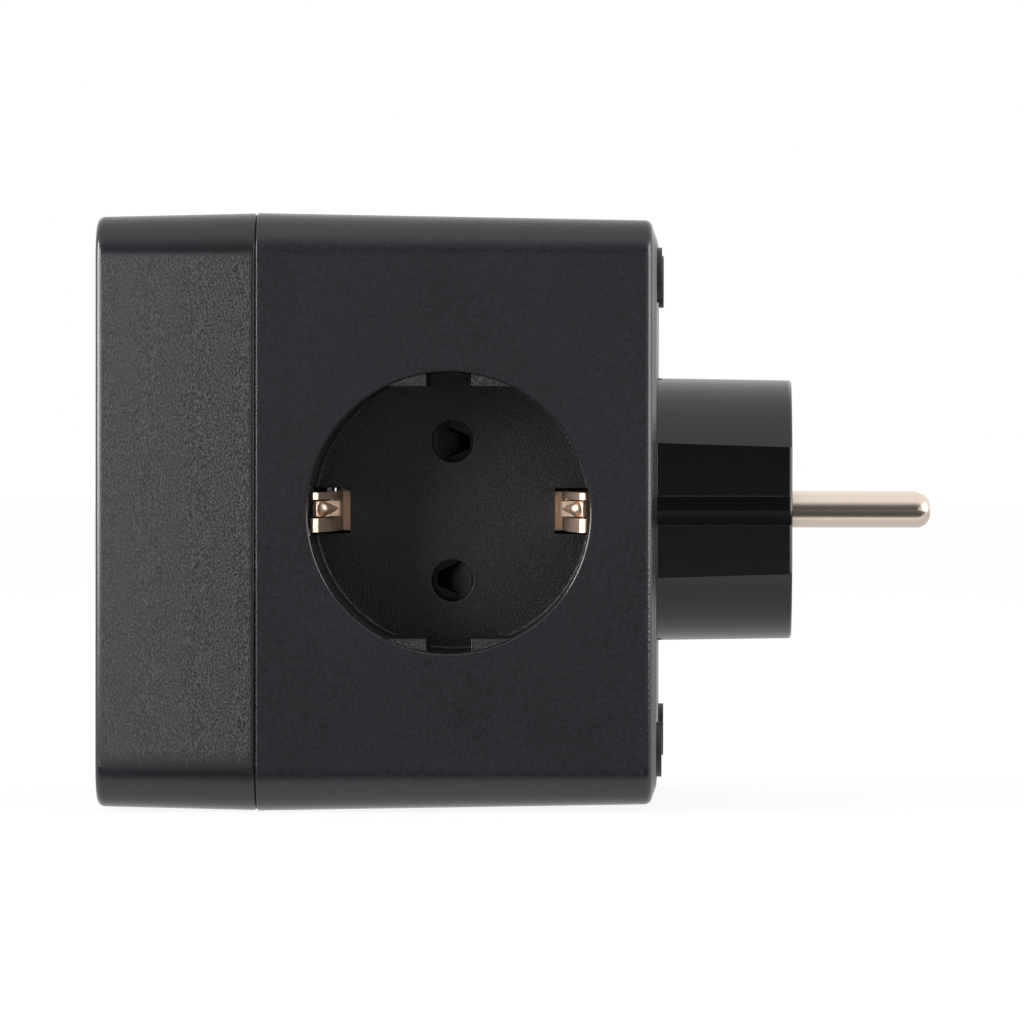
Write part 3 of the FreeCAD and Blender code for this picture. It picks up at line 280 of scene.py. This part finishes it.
def plastic(name, colour, rough, grain_size, grain_depth, speckle):
    """Pigmented plastic: speckle and clouds in the colour, and a grain that moves the normal."""
    finish = Finish(name, IOR=1.5)
    cells, clouds, pigment = speckled(finish, colour, grain_size * MM, speckle)
    rubbed = (clouds - 0.5) * RUB + (cells - 0.5) * RUB + rough
    return finish.varies(Base_Color=pigment, Roughness=rubbed,
                         Normal=bumped(finish, cells, grain_depth * MM))


FINISHES.update({name: plastic(name, *look) for name, look in PLASTICS.items()})
print(len(FINISHES), "plastics")

# %% [markdown]
# ## The grained panels of the cap
# On the real cap the grain stops short of every edge, because the mould's edges are polished
# after the sparks. It fades out over four millimetres towards the bevels, and over less than one
# at the front and at the seam. A painted mask would need unwrapping. Here the skin's direction
# tells a panel from an edge, and its own coordinates give the fade.

# %% Where the cap is grained
CAP_FRONT, CAP_SEAM = -93.7 * MM, -72.2 * MM
GRAIN_LIFT = 1.0 * MM           # the grained field sits this much above the cube's middle
GRAIN_FULL, GRAIN_NONE = 32.4 * MM, 36.4 * MM    # from there towards a panel's long edges
FRONT_NONE, FRONT_FULL = CAP_FRONT + 0.5 * MM, CAP_FRONT + 1.3 * MM
SEAM_FULL, SEAM_NONE = CAP_SEAM - 0.9 * MM, CAP_SEAM - 0.2 * MM
FRONT_FACING = 0.90, 0.99       # the direction's part along Y, from a side to the front panel


def grain_mask(finish):
    """1 inside a panel of the cap, 0 at its edges.

    A side panel runs along Y, so its border is the smaller of the two distances from the middle.
    The front panel has two such borders, so there the larger one counts.
    """
    _, facing_front, _ = parts(finish, "Normal", size_only=True)
    front = facing_front.step(*FRONT_FACING)
    x, y, z = parts(finish, "Object")
    x, z = x.math("ABSOLUTE"), (z - GRAIN_LIFT).math("ABSOLUTE")
    border = x.math("MAXIMUM", z) * front + x.math("MINIMUM", z) * (1.0 - front)
    inside = 1.0 - border.step(GRAIN_FULL, GRAIN_NONE)
    length = y.step(FRONT_NONE, FRONT_FULL) * (1.0 - y.step(SEAM_FULL, SEAM_NONE))
    return inside * length.math("MAXIMUM", front) * panel_mask(finish)


print("cap from", round(CAP_FRONT / MM, 2), "to", round(CAP_SEAM / MM, 2), "mm along Y")

# %% Grained cap
GRAIN_SIZE, GRAIN_DEPTH, GRAIN_STRETCH = 0.15 * MM, 0.05 * MM, (1.0, 1.0, 0.5)
GRAIN_GREY = (0.0275, 0.0275, 0.0292)
GRAIN_ROUGH = 0.14              # what the grain adds to a panel's roughness
SPECK_GLINT = 0.9               # how much more a light speck stands out than a dark one
SPECK_START, SPECK_GAIN = 1.6, 1.1    # contrast of the specks in front, and its rise to the seam
CAP_CLOUDS, CAP_SWING = 6 * MM, 0.04
CAP_SHARE, PAINTED_SEAM_SHADE = 0.46, 0.09    # brightness in front, and the painted shade that darkens it towards the seam, for the left lamp's fall-off
POLISH = 0.20                   # what the polished edge at the seam takes off the roughness
POLISH_NONE, POLISH_FULL = CAP_SEAM - 0.35 * MM, CAP_SEAM - 0.15 * MM


def grained_cap():
    """Cap plastic: satin edges, panels with a spark-eroded grain taller than it is wide, and painted
    shade darkening it towards the seam.
    """
    finish = Finish("grained_plastic", IOR=1.5)
    panel = grain_mask(finish)
    cells = noise(finish, GRAIN_SIZE, detail=1.0, stretch=GRAIN_STRETCH)
    clouds = noise(finish, CAP_CLOUDS, detail=3.0)
    _, along, _ = parts(finish, "Object")
    towards_seam = along.step(CAP_FRONT, CAP_SEAM)
    rise = cells - 0.5
    specks = (rise + rise * rise * SPECK_GLINT) * panel * (towards_seam * SPECK_GAIN + SPECK_START)
    # The share falls towards the seam: painted shade standing in for the left lamp's light falling
    # off along the cap.
    share = specks + (clouds - 0.5) * CAP_SWING - towards_seam * PAINTED_SEAM_SHADE + CAP_SHARE
    pigment = mixed(finish, panel, around(SATIN_BLACK, share), around(GRAIN_GREY, share))
    polish = along.step(POLISH_NONE, POLISH_FULL) * POLISH
    return finish.varies(Base_Color=pigment,
                         Roughness=panel * GRAIN_ROUGH + shell_roughness(finish) - polish,
                         Normal=bumped(finish, cells * panel, GRAIN_DEPTH, SHELL_EDGE))


FINISHES["grained_plastic"] = grained_cap()
print("grain of", round(GRAIN_SIZE / MM, 2), "mm on the cap")

# %% [markdown]
# ## The metals
# The pins and the earth clips are nickel over brass, drawn and rolled, so fine lines run along
# them. A mirror would look like chrome. Noise stretched along the part's length gives those
# lines, and it feeds roughness and a very shallow bump. The clips are bent from strip, so their
# pattern is wider and deeper, and spreads the light of a bead over more of the metal.

# %% Metals
ALONG_PINS = (1.0, 0.03, 1.0)
LINE_ROUGH = 0.1                # how far the lines swing the roughness, from trough to crest
METAL_CLOUDS = 3 * MM
CLOUD_PART, LINE_PART, DULL = 0.7, 0.3, 0.86     # clouds and lines in the colour, and its low end
METALS = {                      # colour, roughness, stretch of the lines, their width and depth in mm
    "sprung_nickel": ((0.94, 0.72, 0.56), 0.42, (1.0, 1.0, 0.2), 0.9, 0.05),
    "nickel": ((0.74, 0.635, 0.54), 0.24, ALONG_PINS),
    "brass": ((0.78, 0.57, 0.27), 0.3, ALONG_PINS),
    "spring_wire": ((0.60, 0.60, 0.62), 0.25, ALONG_PINS),
    "steel": ((0.58, 0.58, 0.60), 0.3, (1.0, 1.0, 1.0)),
    "port_steel": ((0.62, 0.62, 0.64), 0.28, (0.1, 1.0, 1.0)),
}


def metal(name, colour, rough, stretch, line=0.12, depth=0.0012):
    """Plated or rolled metal with drawing lines along one direction."""
    finish = Finish(name, Metallic=1.0)
    lines = noise(finish, line * MM, detail=3.0, stretch=stretch)
    tone = noise(finish, METAL_CLOUDS, detail=2.0) * CLOUD_PART + lines * LINE_PART
    return finish.varies(Base_Color=mixed(finish, tone, times(colour, DULL), times(colour, 1.0)),
                         Roughness=rough - LINE_ROUGH / 2 + lines * LINE_ROUGH,
                         Normal=bumped(finish, lines, depth * MM))


FINISHES.update({name: metal(name, *look) for name, look in METALS.items()})
print(len(FINISHES), "finishes")

# %% [markdown]
# ## Painting the mouldings
# Each piece of the engineering model comes with the name of its material. A finish could be put
# on the mesh, but the mesh is kept as it came, so the finish goes on the object's own slot.
# The earth strips share the pins' metal in the model, and get the wider pattern of bent strip.


# %% Paint the engineering model
def paint(thing, finish):
    """Give one piece a finish. Its mesh isn't touched."""
    if not thing.material_slots:
        thing.data.materials.append(finish.material)
    thing.material_slots[0].link = "OBJECT"
    thing.material_slots[0].material = finish.material


for name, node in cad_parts.items():
    slot = node.material_slots[0].material.name if node.material_slots else "steel"
    look = "sprung_nickel" if name.startswith("earth_strip") else slot
    paint(node, FINISHES[look])
    print(f"{name:26s} {look}")

# %% [markdown]
# ## The shutter springs
# Under each socket's floor a fine torsion spring of round wire turns the shutter back.
# The engineering model draws it in square wire to keep its faces few. Here it is wound again
# in round wire: a helix carried by a circle. It could be a curve object with a bevel, but a
# grid of points worked out in one go gives clean rings.


# %% A mesh from a grid
def mesh_from_grid(name, grid):
    """A mesh whose faces join neighbouring rows and columns of a grid of points.

    Rows run along the path, and columns go round, so the last column joins the first.
    One face closes each end.
    """
    rows, columns = grid.shape[:2]
    number = np.arange(rows * columns).reshape(rows, columns)
    after = np.roll(number, -1, axis=1)
    quads = np.stack([number[:-1], after[:-1], after[1:], number[1:]], axis=-1).reshape(-1, 4)
    faces = quads.tolist() + [number[0, ::-1].tolist(), number[-1].tolist()]
    mesh = bpy.data.meshes.new(name)
    mesh.from_pydata(grid.reshape(-1, 3).tolist(), [], faces)
    mesh.shade_smooth()
    mesh.update()
    made = bpy.data.objects.new(name, mesh)
    bpy.context.scene.collection.objects.link(made)
    return made


print("a grid of R rows and C columns gives (R - 1) x C faces and two ends")

# %% Helix grid
SPRING_RADIUS, WIRE_RADIUS = 3.2 * MM, 0.22 * MM
SPRING_PITCH, SPRING_TURNS = 0.55 * MM, 3.0
SPRING_LEG, LEG_TURN = 3.0 * MM, 0.9    # length of the straight leg, and its share of the angle
SPRING_LOW = 16.48 * MM         # height of the lowest turn above the cube's middle


def spring_grid(rings=181, sides=12):
    """Points of a torsion spring about +Z, a ring of points at each place on its line.

    The line is a straight leg up to angle 0, then height = low + pitch * turns and a point that
    goes round at a fixed radius. Each ring lies across the line, in the plane of the outward
    direction and of the one at right angles to it and to the line.
    """
    turn = np.linspace(-LEG_TURN, 2 * np.pi * SPRING_TURNS, rings)
    coil, leg = np.clip(turn, 0, None), np.clip(turn, None, 0) / LEG_TURN * SPRING_LEG
    out = np.stack([np.cos(coil), np.sin(coil), 0 * coil], axis=-1)
    height = SPRING_LOW + SPRING_PITCH * coil / (2 * np.pi)
    line = out * SPRING_RADIUS + np.stack([0 * leg, leg, height], axis=-1)
    ahead = np.gradient(line, axis=0)
    ahead /= np.linalg.norm(ahead, axis=1, keepdims=True)
    up = np.cross(out, ahead)
    angle = np.linspace(0, 2 * np.pi, sides, endpoint=False)[None, :, None]
    return line[:, None] + WIRE_RADIUS * (np.cos(angle) * out[:, None] + np.sin(angle) * up[:, None])


print("rings, points in a ring and coordinates:", spring_grid().shape)

# %% Wind the springs
SOCKET_CENTRE = np.array([0.0, -46.3, 0.0]) * MM
SOCKET_AXES = {                 # where a socket's own x, y and z point
    "right": np.array([[0, 1, 0], [0, 0, 1], [1, 0, 0]], float),
    "left": np.array([[0, -1, 0], [0, 0, 1], [-1, 0, 0]], float),
    "top": np.array([[1, 0, 0], [0, 1, 0], [0, 0, 1]], float),
}
for side, axes in SOCKET_AXES.items():
    spring = mesh_from_grid("torsion_spring_" + side, SOCKET_CENTRE + spring_grid() @ axes)
    paint(spring, FINISHES["spring_wire"])
    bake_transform(spring)
    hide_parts("shutter_spring_" + side)
    print(spring.name, len(spring.data.polygons), "faces")

# %% [markdown]
# ## The studio
# Black glossy plastic shows the room more than its own colour. The polished plug and the round
# pins of the photograph mirror a white tent: it is bright behind, above and at both sides, and
# dark only where the camera stands. An image of a room could do that, but a tent is simple
# enough for one smooth step along +X. The camera itself sees plain white behind the object.

# %% Tent
TENT_LEVEL = 1.15               # brightness of the tent's cloth
CAMERA_SIDE = 0.08              # what is left of it at the opening for the camera
OPENING = 0.50, 0.94            # a direction's part along +X, from the cloth to the opening
PLAIN_WHITE = {"Color": (1, 1, 1, 1), "Strength": 1.0}


class Room(Finish):
    """The world's nodes, made with the same method as a finish."""

    def __init__(self, tree):
        self.tree = tree


world = bpy.data.worlds.new("tent")
world.use_nodes = True
bpy.context.scene.world = world
room = Room(world.node_tree)
direction = room.node("TexCoord", {}, {}, output="Generated")
towards_camera = room.node("SeparateXYZ", {}, {"Vector": direction}, output="X")
cloth = (1.0 - towards_camera.step(*OPENING)) * (1.0 - CAMERA_SIDE) + CAMERA_SIDE
tent = room.node("Background", {}, PLAIN_WHITE | {"Strength": cloth * TENT_LEVEL})
white = room.node("Background", {}, PLAIN_WHITE)
seen = room.node("LightPath", {}, {}, output="Is Camera Ray")
both = room.node("MixShader", {}, {0: seen, 1: tent, 2: white})
room.feed(world.node_tree.nodes["World Output"].inputs["Surface"], both)
print("tent", TENT_LEVEL, "and", round(CAMERA_SIDE * TENT_LEVEL, 2), "at the camera's side")

# %% [markdown]
# ## The floor
# The cube stands on a white sheet. A plain white sheet would come out grey where it is far from
# the lamps, and its far edge would show. So it glows white where the camera looks at it, and
# keeps a share of its own shading there for the shadow. In reflections it glows with a painted
# reflection: white at the cube's near side, a little darker with painted shade under it, and painted
# dark in front, where the tent is open.

# %% Floor
FLOOR_SIZE, FLOOR_GAP = 6.0, 0.05 * MM
floor_height = cad_box[0].z - FLOOR_GAP
corners = np.array([[-1, -1], [1, -1], [1, 1], [-1, 1]]) * FLOOR_SIZE / 2
sheet = bpy.data.meshes.new("floor")
sheet.from_pydata([(x, y, floor_height) for x, y in corners], [], [(0, 1, 2, 3)])
floor = bpy.data.objects.new("floor", sheet)
bpy.context.scene.collection.objects.link(floor)
print("floor at", round(floor_height / MM, 2), "mm")

# %% Floor as the camera sees it
SHEET_GLOW = 0.90               # share of plain white in what the camera sees
FLOOR_WHITE = (0.82, 0.82, 0.82, 1.0)
pale = Finish("pale_floor", Roughness=0.9, Base_Color=FLOOR_WHITE)
lit = Value(pale, pale.shader.outputs[0])
glow = pale.node("Emission", {}, PLAIN_WHITE)
ray = pale.node("LightPath", {}, {}, output="Is Camera Ray")
to_eye = pale.node("MixShader", {}, {0: ray * SHEET_GLOW, 1: lit, 2: glow})
print("plain white in the sheet:", SHEET_GLOW)

# %% Floor in reflections
MIRROR_GLOW = 1.15              # how bright the painted reflection glow is at the cube's near side
NEAR_GLOW = 0.80                # painted shade under the cube and its plug
FRONT_GLOW, FRONT_EDGE, FRONT_FADE = 0.10, 42.0 * MM, 51.0 * MM    # painted dark in front, and where it begins
FAR_GLOW, FAR_EDGE, FAR_FADE = 0.32, 0.2, 0.6                      # farther in front
# In glossy rays the sheet glows in place of a reflection: a painted reflection with painted shade
# under the cube and painted dark in front.
across, _, _ = parts(pale, "Object")
painted_shade = (1.0 - across.step(0.5 * NEAR_SIDE, NEAR_SIDE)) * (MIRROR_GLOW - NEAR_GLOW)
fade = across.step(FRONT_EDGE, FRONT_FADE) * (MIRROR_GLOW - FRONT_GLOW)
far = across.step(FAR_EDGE, FAR_FADE) * (FAR_GLOW - FRONT_GLOW)
painted_reflection = pale.node("Emission", {}, PLAIN_WHITE | {"Strength": MIRROR_GLOW - painted_shade - fade + far})
mirrored = pale.node("LightPath", {}, {}, output="Is Glossy Ray")
surface = pale.node("MixShader", {}, {0: mirrored, 1: to_eye, 2: painted_reflection})
below = pale.node("NewGeometry", {}, {}, output="Backfacing")
clear = pale.node("BsdfTransparent", {}, {})
one_sided = pale.node("MixShader", {}, {0: below, 1: surface, 2: clear})
pale.feed(pale.tree.nodes["Material Output"].inputs["Surface"], one_sided)
sheet.materials.append(pale.material)
print("glow under, beside, in front and far:", NEAR_GLOW, MIRROR_GLOW, FRONT_GLOW, FAR_GLOW)

# %% [markdown]
# ## The lamps
# A soft box as large as a window stands to the left of the camera and gives the shapes their
# light side. A white wall at each side draws the thin bright line on every rounded edge that
# faces it, and a weak fill at the right keeps the far half of the body from going flat.
# One small hard lamp would be simpler, but it would put a hot spot on each pin and bead.

# %% Lamps
LAMPS = {                       # place, width and height in metres, and power in watts
    "left_box": ((0.90, -0.97, 0.12), (0.42, 0.75), 11.6),
    "left_wall": ((0.30, -1.10, 0.15), (0.38, 0.9), 19.0),
    "right_wall": ((0.26, 1.04, 0.15), (0.80, 0.9), 12.5),
    "right_fill": ((0.98, 0.50, 0.05), (0.40, 0.60), 0.7),
}
for name, (spot, (wide, high), power) in LAMPS.items():
    lamp = bpy.data.lights.new(name, "AREA")
    lamp.shape, lamp.size, lamp.size_y, lamp.energy = "RECTANGLE", wide, high, power
    holder = bpy.data.objects.new(name, lamp)
    holder.location = spot
    towards_cube = Vector(SOCKET_CENTRE) - Vector(spot)
    holder.rotation_euler = towards_cube.to_track_quat("-Z", "Y").to_euler()
    bpy.context.scene.collection.objects.link(holder)
    print(f"{name:12s} {power:5.1f} W")

# %% [markdown]
# ## The view
# The view is left plain, because a film-like curve would turn the white ground grey.

# %% View
bpy.context.scene.view_settings.view_transform = "Standard"
